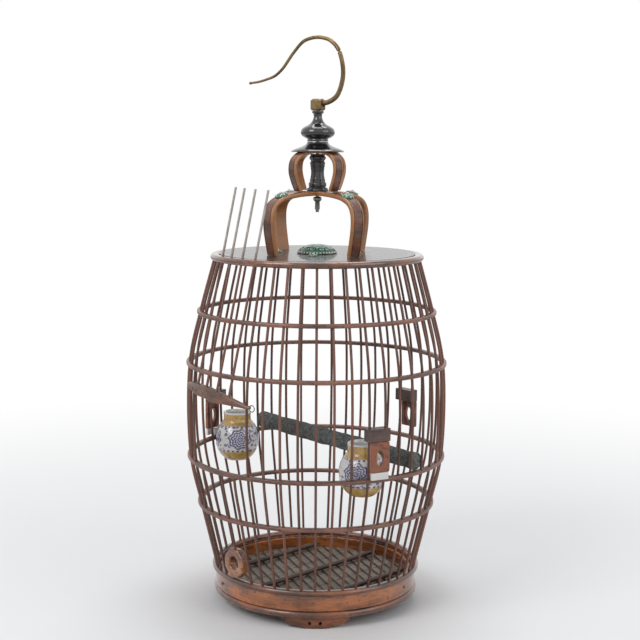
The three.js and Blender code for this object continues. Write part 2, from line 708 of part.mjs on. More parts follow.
function pot(azimuth) {
  const outside = [[0, 0], [13, 0], [19, 6], [potDiameter / 2 - 0.6, 18], [potDiameter / 2, 28],
    [potDiameter / 2 - 2.6, 40], [potMouth / 2 + 3, 48], [potMouth / 2, 51], [potMouth / 2, potHeight - 2],
    [potMouth / 2 + 1, potHeight]];
  const inside = [[potMouth / 2 + 1 - potWall, potHeight], [potMouth / 2 - potWall, potHeight - 2],
    [potMouth / 2 - potWall, 50], [potDiameter / 2 - 2.6 - potWall, 39], [potDiameter / 2 - potWall, 28],
    [potDiameter / 2 - 0.6 - potWall, 18], [17, 6], [0, 4]];
  const body = solid(turned([...outside, ...inside], 20));
  const reach = outerBar + fitGap + lugHeadThickness - potPlace;
  const stemStart = potDiameter / 2 - potWall + 1;
  const stemLength = reach - stemStart;
  const stem = solid(box(lugWidth, stemLength, lugHeight).translate(0, -stemStart - stemLength / 2, lugLevel));
  const head = solid(box(lugHeadWidth, lugHeadThickness, lugHeight)
    .translate(0, -reach + lugHeadThickness / 2, lugLevel));
  return setAt(geometryOf(union([body, stem, head])), azimuth, potPlace, potLevel);
}

add("pot_right", pot(potAzimuths.right), porcelain);
add("pot_left", pot(potAzimuths.left), porcelain);

// Pot holders: a grooved head that grips two bars, and a sliding plate with a keyhole window
const holderRadius = barRadiusAtLevel(holderHeadLevel);
const plateRadius = holderRadius + barRadius + fitGap + holderPlateThickness / 2 + 0.4;

function holder(name, azimuth) {
  const gripped = fixedBars.filter((place) => Math.abs(place - azimuth) < barStep);
  const grips = union(gripped.map((place) => fixedBar(place, boreRadius)));
  const middle = holderHeadLevel + holderHeadHeight / 2;
  const head = solid(setAt(box(holderWidth, holderDepth, holderHeadHeight), azimuth, holderRadius, middle));
  add(`${name}_head`, head.subtract(grips), holderWood);
  const top = holderHeadLevel - fitGap;
  const plate = solid(setAt(box(holderWidth - 3, holderPlateThickness, holderPlateHeight), azimuth,
    plateRadius, top - holderPlateHeight / 2));
  const window = solid(setAt(box(windowWidth, holderDepth, windowHeight), azimuth,
    plateRadius, top - holderPlateHeight / 2 - 1));
  add(`${name}_plate`, plate.subtract(window).subtract(grips), holderWood);
}

for (const [side, azimuth] of Object.entries(holderAzimuths)) {
  holder(`holder_${side}`, azimuth);
}

export default cage;
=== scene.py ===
"""Finish of a barrel-shaped bamboo songbird cage, laid out as an add-on and run as a script."""
import math
import random

import bpy
from bpy.props import FloatProperty, FloatVectorProperty, IntProperty, PointerProperty
from mathutils import Matrix, Vector


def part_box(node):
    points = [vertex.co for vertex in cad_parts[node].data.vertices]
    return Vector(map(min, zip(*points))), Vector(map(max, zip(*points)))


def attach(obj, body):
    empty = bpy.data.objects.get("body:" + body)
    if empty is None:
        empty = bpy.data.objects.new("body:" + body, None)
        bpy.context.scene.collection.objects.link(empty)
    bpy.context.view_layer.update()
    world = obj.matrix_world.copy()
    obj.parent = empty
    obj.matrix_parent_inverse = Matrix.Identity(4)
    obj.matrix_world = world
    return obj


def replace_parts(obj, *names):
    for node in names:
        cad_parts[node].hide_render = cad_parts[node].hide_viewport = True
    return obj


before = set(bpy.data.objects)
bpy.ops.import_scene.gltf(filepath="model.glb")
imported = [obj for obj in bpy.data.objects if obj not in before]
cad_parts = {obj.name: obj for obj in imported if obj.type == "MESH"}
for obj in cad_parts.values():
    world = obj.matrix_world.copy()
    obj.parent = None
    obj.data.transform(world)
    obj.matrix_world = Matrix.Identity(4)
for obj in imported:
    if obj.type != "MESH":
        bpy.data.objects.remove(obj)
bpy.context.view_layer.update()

bl_info = {
    "name": "Bamboo Birdcage",
    "version": (1, 0, 0),
    "blender": (4, 5, 0),
    "location": "View3D > Sidebar > Birdcage",
    "description": "Dresses the frame of a bamboo birdcage with its finished pieces",
    "category": "Object",
}

MM = 0.001
BAR_COUNT = 48
BAR_STEP = 360 / BAR_COUNT
DOOR_AZIMUTHS = [-60.0, -52.5, -45.0, -37.5]
DOOR_MIDDLE = -48.75
FIT_GAP = 0.3
HOOP_WIDTH = 7.6
HOOP_HEIGHT = 4.5
# level and outer radius of each hoop, in mm
HOOPS = {
    "shoulder_hoop": (343.7, 139.3),
    "belly_hoop": (284.5, 152.0),
    "waist_hoop": (174.7, 151.4),
    "ankle_hoop": (119.2, 139.5),
}
BASE_TOP = 45.2
BASE_BAR_RADIUS = 118.1
RIM_LEVEL = 403.6
RIM_BAR_RADIUS = 119.35
BOARD_TOP = 411.0
DOOR_BELLY_RADIUS = 149.3
DOOR_SLOPE = (149.3 - 119.9) / (403.6 - 284.5)
CROWN_AZIMUTH = 39.3
LOWER_CROWN_TOP = 483.0
# reach in mm and share of the height along one half of each crown's strap
LOWER_STRAP = [(67, 0), (70, 0.2), (72.8, 0.46), (72, 0.68), (66.5, 0.83), (55, 0.925), (38, 0.975), (14, 1)]
UPPER_STRAP = [(30, 0), (34.5, 0.2), (38.5, 0.48), (36.5, 0.74), (28, 0.91), (16, 0.985), (6, 1)]
UPPER_CROWN_TOP = 530.5
HOOK_AZIMUTH = 62.0
HOLDER_AZIMUTHS = {"right": 26.25, "left": -123.75, "spare": 131.25}
JAR_HEIGHT = 59.2


class CageSettings(bpy.types.PropertyGroup):
    """Sizes of the bars and their variety."""
    bar_diameter: FloatProperty(
        name="Bar diameter", description="Diameter of a bamboo bar", default=3.0 * MM, unit="LENGTH")
    bar_sides: IntProperty(name="Bar sides", description="Faces round a bar", default=10, min=6)
    seed: IntProperty(name="Seed", description="Start of the random shades of the bars", default=7)
    perch_diameter: FloatProperty(
        name="Perch diameter", description="Diameter of the branch perch", default=20.5 * MM, unit="LENGTH")


class ColourSettings(bpy.types.PropertyGroup):
    """Main colours of the finishes."""
    bamboo: FloatVectorProperty(
        name="Bamboo", description="Colour of the bars", default=(0.125, 0.054, 0.036), subtype="COLOR")
    band: FloatVectorProperty(
        name="Base band", description="Colour of the glossy base band", default=(0.27, 0.082, 0.018),
        subtype="COLOR")
    lacquer: FloatVectorProperty(
        name="Lacquer", description="Colour of the red-brown lacquer", default=(0.085, 0.027, 0.010),
        subtype="COLOR")
    brass: FloatVectorProperty(
        name="Brass", description="Colour of the aged brass", default=(0.21, 0.145, 0.07), subtype="COLOR")
    glaze: FloatVectorProperty(
        name="Glaze", description="Colour of the yellow glaze", default=(0.58, 0.36, 0.10), subtype="COLOR")
    enamel: FloatVectorProperty(
        name="Enamel", description="Colour of the green enamel", default=(0.004, 0.075, 0.036),
        subtype="COLOR")


class StageSettings(bpy.types.PropertyGroup):
    """Place, lens, pitch and roll of the camera."""
    lens: FloatProperty(name="Lens", description="Focal length", default=75.75, subtype="DISTANCE_CAMERA")
    distance: FloatProperty(
        name="Distance", description="Camera to the axis", default=1.56, unit="LENGTH")
    height: FloatProperty(name="Height", description="Camera above the floor", default=0.5402, unit="LENGTH")
    pitch: FloatProperty(
        name="Pitch", description="How far the camera looks down", default=math.radians(7.583),
        subtype="ANGLE")
    roll: FloatProperty(
        name="Roll", description="Lean of the picture", default=math.radians(0.33), subtype="ANGLE")


class Socket:
    """A socket in a material, so that shader maths can be written as Python."""

    def __init__(self, paint, socket):
        self.paint = paint
        self.socket = socket

    def maths(self, operation, *others):
        return self.paint.node("ShaderNodeMath", {"operation": operation}, dict(enumerate((self, *others))))

    def __add__(self, other):
        return self.maths("ADD", other)

    __radd__ = __add__

    def __mul__(self, other):
        return self.maths("MULTIPLY", other)

    __rmul__ = __mul__

    def __sub__(self, other):
        return self.maths("SUBTRACT", other)

    def __rsub__(self, other):
        return self.paint.node("ShaderNodeMath", {"operation": "SUBTRACT"}, {0: other, 1: self})

    def __pow__(self, other):
        return self.maths("POWER", other)

    def above(self, edge, soft):
        """0 below the edge and 1 above it, over a soft width."""
        return self.paint.node("ShaderNodeMapRange", {"interpolation_type": "SMOOTHSTEP"},
                               {0: self, 1: edge - soft, 2: edge + soft})

    def sine(self):
        return self.maths("SINE")

    def absolute(self):
        return self.maths("ABSOLUTE")

    def limited(self):
        return self.paint.node("ShaderNodeClamp", {}, {0: self})


class Paint:
    """A material under construction."""

    def __init__(self, name):
        self.material = bpy.data.materials.new(name)
        self.material.use_nodes = True
        self.tree = self.material.node_tree
        self.shader = self.tree.nodes["Principled BSDF"]

    def node(self, kind, settings, inputs, output=0):
        node = self.tree.nodes.new(kind)
        for name, value in settings.items():
            setattr(node, name, value)
        for name, value in inputs.items():
            if isinstance(value, Socket):
                self.tree.links.new(value.socket, node.inputs[name])
            else:
                node.inputs[name].default_value = value
        return Socket(self, node.outputs[output])

    def place(self):
        return self.node("ShaderNodeTexCoord", {}, {}, "Object")

    def split(self, vector):
        parts = self.node("ShaderNodeSeparateXYZ", {}, {0: vector})
        node = parts.socket.node
        return [Socket(self, node.outputs[i]) for i in range(3)]

    def stretched(self, scale, vector=None):
        vector = vector or self.place()
        return self.node("ShaderNodeVectorMath", {"operation": "MULTIPLY"}, {0: vector, 1: scale})

    def noise(self, vector, scale, detail=3.0, roughness=0.55):
        return self.node("ShaderNodeTexNoise", {},
                         {"Vector": vector, "Scale": scale, "Detail": detail, "Roughness": roughness})

    def cells(self, vector, scale):
        return self.node("ShaderNodeTexVoronoi", {}, {"Vector": vector, "Scale": scale}, "Distance")

    def mix(self, factor, first, second):
        return self.node("ShaderNodeMix", {"data_type": "RGBA"},
                         {0: factor, 6: opaque(first), 7: opaque(second)}, 2)

    def set(self, **values):
        names = {"colour": "Base Color", "roughness": "Roughness", "metallic": "Metallic",
                 "coat": "Coat Weight", "coat_roughness": "Coat Roughness", "specular": "Specular IOR Level"}
        for key, value in values.items():
            socket = self.shader.inputs[names[key]]
            if isinstance(value, Socket):
                self.tree.links.new(value.socket, socket)
            else:
                socket.default_value = opaque(value)

    def bump(self, height, strength, distance):
        bump = self.node("ShaderNodeBump", {}, {"Height": height, "Strength": strength, "Distance": distance})
        self.tree.links.new(bump.socket, self.shader.inputs["Normal"])


def opaque(value):
    """A colour with its alpha; sockets and plain numbers stay as they are."""
    return value if isinstance(value, (Socket, float, int)) else (*value, 1.0)


def tint(colour, factor):
    return tuple(channel * factor for channel in colour)


def shade_attribute(paint):
    return paint.node("ShaderNodeAttribute", {"attribute_name": "shade"}, {}, "Fac")


# Finishes
def bamboo_finish(name, colour):
    """Bamboo sticks: fine fibres along the stick and a shade of its own for each."""
    paint = Paint(name)
    fibres = paint.noise(paint.stretched((900, 900, 14)), 1.0, 3)
    blotches = paint.noise(paint.stretched((60, 60, 12)), 1.0, 2)
    base = paint.mix(shade_attribute(paint), tint(colour, 0.62), tint(colour, 1.5))
    fibred = paint.mix(fibres.above(0.55, 0.2) * 0.55, base, tint(colour, 2.1))
    paint.set(colour=paint.mix(blotches.above(0.6, 0.12) * 0.5, fibred, tint(colour, 0.45)),
              roughness=0.42 + fibres * 0.2, coat=0.05)
    paint.bump(fibres, 0.25, 0.0002)
    return paint.material


def door_bar_finish(colour):
    """Bamboo as on the fixed bars, with painted light: pale above the top board, where light falls on the
    upper door bars.
    """
    paint = Paint("door_bamboo")
    fibres = paint.noise(paint.stretched((900, 900, 14)), 1.0, 3)
    _, _, level = paint.split(paint.place())
    # Painted light: above 0.415 m, just over the top board, the bars turn pale as if lit.
    wear_and_painted_light = level.above(0.415, 0.02)
    brown = paint.mix(fibres.above(0.55, 0.2) * 0.6, colour, tint(colour, 2.4))
    pale = paint.mix(fibres.above(0.5, 0.2), (0.30, 0.26, 0.22), (0.50, 0.46, 0.41))
    paint.set(colour=paint.mix(wear_and_painted_light, brown, pale), roughness=0.34 + fibres * 0.2, coat=0.15)
    paint.bump(fibres, 0.25, 0.0002)
    return paint.material


def round_finish(name, colour, light, dark, coat=0.5, rough=0.3, streak=90.0, edge=None):
    """Wood or bamboo bent into a ring or strap, with long mottled grain."""
    paint = Paint(name)
    grain = paint.noise(paint.stretched((streak, streak, 900)), 1.0, 4, 0.6)
    mottle = paint.noise(paint.stretched((22, 22, 60)), 1.0, 4, 0.65)
    spots = paint.noise(paint.stretched((160, 160, 220)), 1.0, 2)
    base = paint.mix(grain.above(0.5, 0.22), dark, colour)
    lit = paint.mix(mottle.above(0.52, 0.16), base, light)
    wear_and_painted_light = paint.mix(spots.above(0.64, 0.07) * 0.7, lit, tint(dark, 0.6))
    if edge:
        wear_and_painted_light = paint.mix(shade_attribute(paint) * (0.35 + mottle), wear_and_painted_light, edge)
    paint.set(colour=wear_and_painted_light, roughness=rough + grain * 0.16, coat=coat, coat_roughness=0.12)
    paint.bump(grain, 0.22, 0.0003)
    return paint.material


def lacquer_finish(name, colour, rough):
    """Polished black lacquer, with faint dust and fine wear."""
    paint = Paint(name)
    wear = paint.noise(paint.place(), 55.0, 4, 0.6)
    fine = paint.noise(paint.place(), 420.0, 2)
    paint.set(colour=paint.mix(wear.above(0.6, 0.12) * 0.6, colour, tint(colour, 2.6)),
              roughness=rough + wear * 0.12, coat=0.8, coat_roughness=0.06)
    paint.bump(fine, 0.06, 0.0002)
    return paint.material


def spool_finish():
    """Dark carved horn with narrow slots round its waist; the slots are painted near black as painted shade.
    """
    paint = Paint("spool_horn")
    x, y, level = paint.split(paint.place())
    angle = paint.node("ShaderNodeMath", {"operation": "ARCTAN2"}, {0: y, 1: x})
    across = ((angle * 2 + 0.9).sine()).above(0.86, 0.05)
    middle = 1 - (level - (LOWER_CROWN_TOP + 21.0) * MM).absolute().above(5.6 * MM, 0.5 * MM)
    slots = across * middle
    cloud = paint.noise(paint.place(), 130.0, 4, 0.6)
    horn = paint.mix(cloud.above(0.5, 0.2), (0.022, 0.020, 0.021), (0.065, 0.060, 0.060))
    # Painted shade: the slots are painted near black for the shade inside them.
    paint.set(colour=paint.mix(slots, horn, (0.002, 0.002, 0.002)), roughness=0.24 + slots * 0.6, coat=0.3)
    paint.bump(0 - slots, 0.8, 0.001)
    return paint.material


def board_finish(colour):
    """The lacquered board: a thin silver line near its edge and a faint raised scroll inside."""
    paint = Paint("board_lacquer")
    x, y, _ = paint.split(paint.place())
    reach = (x * x + y * y) ** 0.5
    line = 1 - (reach - 0.1075).absolute().above(0.0006, 0.0004)
    angle = paint.node("ShaderNodeMath", {"operation": "ARCTAN2"}, {0: y, 1: x})
    petals = (angle * 12 + (reach * 420).sine() * 2.2).sine() * (reach * 260).sine()
    scroll = petals.above(0.25, 0.2) * reach.above(0.03, 0.004) * (1 - reach.above(0.100, 0.002))
    dust = paint.noise(paint.place(), 90.0, 4, 0.7)
    dark = paint.mix(scroll * 0.6, colour, tint(colour, 2.4))
    paint.set(colour=paint.mix(line, dark, (0.22, 0.2, 0.17)), roughness=0.22 + dust * 0.25, coat=0.5)
    paint.bump(scroll + line, 0.5, 0.0005)
    return paint.material


def brass_finish(name, colour):
    """Handled brass: brown patina in random patches, and brighter where it is rubbed."""
    paint = Paint(name)
    patina = paint.noise(paint.place(), 38.0, 5, 0.7)
    rubbed = paint.noise(paint.stretched((200, 200, 200)), 1.0, 3)
    aged = paint.mix(patina.above(0.5, 0.16), tint(colour, 0.5), colour)
    paint.set(colour=paint.mix(rubbed.above(0.6, 0.1) * 0.5, aged, tint(colour, 1.5)), metallic=1.0,
              roughness=0.28 + patina * 0.28)
    paint.bump(rubbed, 0.08, 0.0002)
    return paint.material


def enamel_finish(colour):
    """Glassy green enamel."""
    paint = Paint("green_enamel")
    cloud = paint.noise(paint.place(), 160.0, 3)
    paint.set(colour=paint.mix(cloud.above(0.5, 0.2), colour, tint(colour, 2.2)),
              roughness=0.16 + cloud * 0.1, coat=0.8, coat_roughness=0.05)
    paint.bump(cloud, 0.1, 0.0003)
    return paint.material


def bead_finish():
    """Milky white and silver beads."""
    paint = Paint("white_beads")
    cloud = paint.noise(paint.place(), 300.0, 2)
    paint.set(colour=paint.mix(cloud, (0.55, 0.56, 0.52), (0.8, 0.8, 0.76)), roughness=0.2 + cloud * 0.1,
              coat=0.5)
    return paint.material


def sand_finish():
    """A branch coated with glued grey sand."""
    paint = Paint("sand_coat")
    grit = paint.cells(paint.place(), 900.0)
    coarse = paint.noise(paint.place(), 260.0, 4, 0.8)
    stain = paint.noise(paint.place(), 22.0, 3)
    stone = paint.mix(coarse.above(0.5, 0.15), (0.075, 0.083, 0.08), (0.24, 0.25, 0.24))
    paint.set(colour=paint.mix(stain.above(0.55, 0.12) * 0.4, stone, (0.09, 0.075, 0.055)), roughness=0.95,
              specular=0.2)
    paint.bump(grit + coarse * 1.5, 0.9, 0.0012)
    return paint.material


def floor_wood_finish(name, plank, tone=1.0):
    """Grey-brown worn wood, with boards side by side where plank is their width."""
    paint = Paint(name)
    turned = paint.node("ShaderNodeVectorRotate", {"rotation_type": "Z_AXIS"},
                        {"Vector": paint.place(), "Angle": math.radians(-45)})
    along, across, _ = paint.split(turned)
    grain = paint.noise(paint.stretched((26, 420, 200), turned), 1.0, 4, 0.6)
    stain = paint.noise(paint.place(), 18.0, 4, 0.7)
    wood = paint.mix(grain.above(0.5, 0.2), tint((0.17, 0.135, 0.105), tone), tint((0.36, 0.31, 0.255), tone))
    aged = paint.mix(stain.above(0.52, 0.14) * 0.6, wood, tint((0.13, 0.105, 0.082), tone))
    if plank:
        seam = (across * (math.pi / plank)).sine().absolute()
        gap = 1 - seam.above(0.06, 0.04)
        aged = paint.mix(gap, aged, (0.03, 0.022, 0.016))
        paint.bump(grain - gap, 0.4, 0.0006)
    else:
        paint.bump(grain, 0.3, 0.0004)
    paint.set(colour=aged, roughness=0.6 + grain * 0.2)
    return paint.material


def porcelain_finish(glaze):
    """Glazed jar: yellow neck and foot, and a white band with cobalt flower rounds and scrolls."""
    paint = Paint("painted_porcelain")
    chart = paint.node("ShaderNodeUVMap", {"uv_map": "chart"}, {}, "UV")
    turn, height, _ = paint.split(chart)
    cell = paint.node("ShaderNodeMath", {"operation": "FRACT"}, {0: turn * 4.0}) - 0.5
    side = cell * 2.0
    rise = (height - 0.49) * 3.5
    reach = (side * side + rise * rise) ** 0.5
    angle = paint.node("ShaderNodeMath", {"operation": "ARCTAN2"}, {0: rise, 1: side})
    wobble = (angle * 8.0).sine() * 0.05
    petals = ((reach + wobble) * 36.0).sine().above(0.2, 0.3)
    veins = (angle * 16.0 + reach * 9.0).sine().above(0.1, 0.35)
    round_flower = (1 - (reach + wobble).above(0.76, 0.03)) * (1 - petals * (0.5 + veins * 0.5))
    leaf_noise = paint.cells(paint.node("ShaderNodeCombineXYZ", {}, {0: turn * 26.0, 1: height * 13.0}), 1.0)
    leaves = (1 - leaf_noise.above(0.42, 0.06)) * reach.above(0.82, 0.03)
    in_band = height.above(0.22, 0.006) * (1 - height.above(0.745, 0.006))
    border_rows = (1 - (height - 0.235).absolute().above(0.02, 0.006)) \
        + (1 - (height - 0.73).absolute().above(0.016, 0.006))
    dots = (turn * (2 * math.pi * 26)).sine().above(0.0, 0.3) * border_rows
    blue = (round_flower + leaves * 0.85 + dots).limited() * in_band
    smear = paint.noise(paint.place(), 170.0, 3)
    cobalt = paint.mix(smear, (0.012, 0.016, 0.11), (0.07, 0.06, 0.24))
    yellow = paint.mix(smear.above(0.5, 0.25), tint(glaze, 0.7), tint(glaze, 1.1))
    white = paint.mix(smear, (0.62, 0.60, 0.57), (0.75, 0.73, 0.70))
    ground = paint.mix(in_band, yellow, white)
    lip = paint.mix(height.above(0.965, 0.006), ground, white)
    painted = paint.mix(blue * 0.92, lip, cobalt)
    paint.set(colour=painted, roughness=0.12 + smear * 0.08, coat=0.8, coat_roughness=0.05)
    paint.bump(smear, 0.05, 0.0003)
    return paint.material


def stage_finish():
    """A plain pale floor that turns white away from the cage."""
    paint = Paint("pale_floor")
    x, y, _ = paint.split(paint.place())
    reach = (x * x + y * y) ** 0.5
    seen = paint.node("ShaderNodeLightPath", {}, {}, "Is Camera Ray")
    white = paint.node("ShaderNodeEmission", {}, {"Color": (1.0, 1.0, 1.0, 1.0), "Strength": 1.0})
    paint.set(colour=(0.84, 0.84, 0.83), roughness=0.9, specular=0.1)
    surface = Socket(paint, paint.shader.outputs[0])
    either = paint.node("ShaderNodeMixShader", {}, {0: reach.above(0.75, 0.6) * seen, 1: surface, 2: white})
    paint.tree.links.new(either.socket, paint.tree.nodes["Material Output"].inputs["Surface"])
    return paint.material


# Mesh building
def around(azimuth, radius, level):
    """A point in mm, by its azimuth from the front towards the right."""
    angle = math.radians(azimuth)
    return Vector((radius * math.sin(angle), -radius * math.cos(angle), level))


def mesh_object(name, points, faces, material, body="root", smooth=True, shades=None, slot=None):
    """A piece from points in mm."""
    mesh = bpy.data.meshes.new(name)
    mesh.from_pydata([tuple(point * MM) for point in points], [], faces)
    mesh.validate()
    mesh.materials.append(material)
    mesh.polygons.foreach_set("use_smooth", [smooth] * len(mesh.polygons))
    if shades:
        layer = mesh.attributes.new("shade", "FLOAT", "POINT")
        layer.data.foreach_set("value", shades)
    piece = bpy.data.objects.new(name, mesh)
    bpy.context.scene.collection.objects.link(piece)
    if smooth:
        mesh.set_sharp_from_angle(angle=math.radians(50))
    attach(piece, body)
    return piece


class Pile:
    """Points and faces of several lofts, gathered into one piece."""

    def __init__(self):
        self.points = []
        self.faces = []
        self.shades = []

    def loft(self, rings, closed=False, shade=0.5):
        count = len(rings[0])
        base = len(self.points)
        for ring in rings:
            self.points.extend(ring)
        rows = len(rings)
        for row in range(rows if closed else rows - 1):
            for k in range(count):
                a = base + row * count + k
                b = base + row * count + (k + 1) % count
                c = base + ((row + 1) % rows) * count + (k + 1) % count
                d = base + ((row + 1) % rows) * count + k
                self.faces.append((a, b, c, d))
        if not closed:
            self.faces.append(tuple(base + k for k in reversed(range(count))))
            self.faces.append(tuple(base + (rows - 1) * count + k for k in range(count)))
        self.shades.extend((shade if isinstance(shade, list) else [shade] * count) * rows)

    def sweep(self, path, radius_at, sides, shade=0.5):
        rings = []
        for i, point in enumerate(path):
            along = (path[min(i + 1, len(path) - 1)] - path[max(i - 1, 0)]).normalized()
            level = Vector((0, 1, 0)) if abs(along.z) > 0.9 else Vector((0, 0, 1))
            side = level.cross(along).normalized()
            other = along.cross(side)
            radius = radius_at(i / (len(path) - 1))
            rings.append([point + side * (radius * math.cos(2 * math.pi * k / sides))
                          + other * (radius * math.sin(2 * math.pi * k / sides)) for k in range(sides)])
        self.loft(rings, shade=shade)

    def turn(self, profile, sides, closed=True, centre=(0, 0)):
        """Revolves a closed outline of (radius, level) pairs."""
        rings = []
        for k in range(sides):
            azimuth = 360 * k / sides
            rings.append([around(azimuth, radius, level) + Vector((centre[0], centre[1], 0))
                          for radius, level in profile])
        self.loft(rings, closed=closed)

    def piece(self, name, material, **rest):
        return mesh_object(name, self.points, self.faces, material, shades=self.shades, **rest)


def smooth_line(points, steps):
    """A centripetal curve through points, as steps places between each two."""
    points = [Vector(point) for point in points]
    ends = [points[0] * 2 - points[1]] + points + [points[-1] * 2 - points[-2]]
    line = []
    for i in range(1, len(ends) - 2):
        p0, p1, p2, p3 = ends[i - 1:i + 3]
        t0, t1, t2 = [max(1e-4, (b - a).length ** 0.5) for a, b in ((p0, p1), (p1, p2), (p2, p3))]
        m1 = (p1 - p0) / t0 - (p2 - p0) / (t0 + t1) + (p2 - p1) / t1
        m2 = (p2 - p1) / t1 - (p3 - p1) / (t1 + t2) + (p3 - p2) / t2
        m1, m2 = m1 * t1, m2 * t1
        for k in range(steps):
            t = k / steps
            line.append((2 * t ** 3 - 3 * t ** 2 + 1) * p1 + (t ** 3 - 2 * t ** 2 + t) * m1
                        + (-2 * t ** 3 + 3 * t ** 2) * p2 + (t ** 3 - t ** 2) * m2)
    line.append(points[-1])
    return line


def rounded_outline(inner, outer, low, high, corner, steps=4):
    """A closed outline of a ring's section with round corners."""
    outline = []
    corners = [(outer - corner, high - corner, 0), (inner + corner, high - corner, 90),
               (inner + corner, low + corner, 180), (outer - corner, low + corner, 270)]
    for x, z, start in corners:
        for k in range(steps + 1):
            angle = math.radians(start + 90 * k / steps)
            outline.append((x + corner * math.cos(angle), z + corner * math.sin(angle)))
    return outline


BAR_LINE = smooth_line([
    (BASE_BAR_RADIUS, 0, BASE_TOP),
    (HOOPS["ankle_hoop"][1] - HOOP_WIDTH / 2, 0, HOOPS["ankle_hoop"][0]),
    (HOOPS["waist_hoop"][1] - HOOP_WIDTH / 2, 0, HOOPS["waist_hoop"][0]),
    (HOOPS["belly_hoop"][1] - HOOP_WIDTH / 2, 0, HOOPS["belly_hoop"][0]),
    (HOOPS["shoulder_hoop"][1] - HOOP_WIDTH / 2, 0, HOOPS["shoulder_hoop"][0]),
    (RIM_BAR_RADIUS, 0, RIM_LEVEL),
], 8)


def bar_path(azimuth, low=0.0, high=1000.0):
    places = [around(azimuth, place.x, place.z) for place in BAR_LINE if low <= place.z <= high]
    if low <= BASE_TOP:
        places.insert(0, around(azimuth, BASE_BAR_RADIUS, BASE_TOP - 3))
    if high > RIM_LEVEL:
        places.append(around(azimuth, RIM_BAR_RADIUS, RIM_LEVEL + 3))
    return places


def door_point(azimuth, radius, level):
    lean = around(DOOR_MIDDLE, (HOOPS["belly_hoop"][0] - level) * DOOR_SLOPE, 0)
    return around(azimuth, radius, level) + lean


def settings():
    return bpy.context.scene.birdcage_sizes


def colours():
    return bpy.context.scene.birdcage_colours


def hoop_piece(name, key, material, **rest):
    level, radius = HOOPS[key]
    pile = Pile()
    pile.turn(rounded_outline(radius - HOOP_WIDTH, radius, level - HOOP_HEIGHT / 2, level + HOOP_HEIGHT / 2,
                              1.6), 192)
    return pile.piece(name, material, **rest)


class CAGE_OT_barrel(bpy.types.Operator):
    """Bars and hoops of the barrel."""
    bl_idname = "birdcage.barrel"
    bl_label = "Bars and hoops"

    def execute(self, context):
        sizes = settings()
        shades = random.Random(sizes.seed)
        radius = sizes.bar_diameter / MM / 2
        look = bamboo_finish("bar_bamboo", colours().bamboo)
        hoop_look = round_finish("hoop_bamboo", tint(colours().bamboo, 1.25), tint(colours().bamboo, 2.2),
                                 tint(colours().bamboo, 0.55), coat=0.2, rough=0.35)
        bars = Pile()
        short = Pile()
        waist = HOOPS["waist_hoop"][0]
        for number in range(BAR_COUNT):
            azimuth = number * BAR_STEP
            azimuth = azimuth - 360 if azimuth > 180 else azimuth
            shade = shades.random()
            width = radius * (0.94 + 0.1 * shades.random())
            if azimuth in DOOR_AZIMUTHS:
                low = 74.0 if abs(azimuth - DOOR_MIDDLE) < BAR_STEP else 0.0
                short.sweep(bar_path(azimuth, low, waist + 0.5), lambda share: width, sizes.bar_sides, shade)
            else:
                bars.sweep(bar_path(azimuth), lambda share: width, sizes.bar_sides, shade)
        piece = bars.piece("barrel_bars", look, slot="barrel_bars_and_belly_hoop")
        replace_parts(piece, "barrel_bars_and_belly_hoop")
        piece = short.piece("short_bars", look, slot="waist_hoop_and_short_bars")
        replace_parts(piece, "waist_hoop_and_short_bars")
        hoop_piece("belly_hoop", "belly_hoop", hoop_look, slot="barrel_bars_and_belly_hoop")
        hoop_piece("waist_hoop", "waist_hoop", hoop_look, slot="waist_hoop_and_short_bars")
        for name in ("shoulder_hoop", "ankle_hoop"):
            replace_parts(hoop_piece(f"{name}_bent", name, hoop_look, slot=name), name)
        return {"FINISHED"}


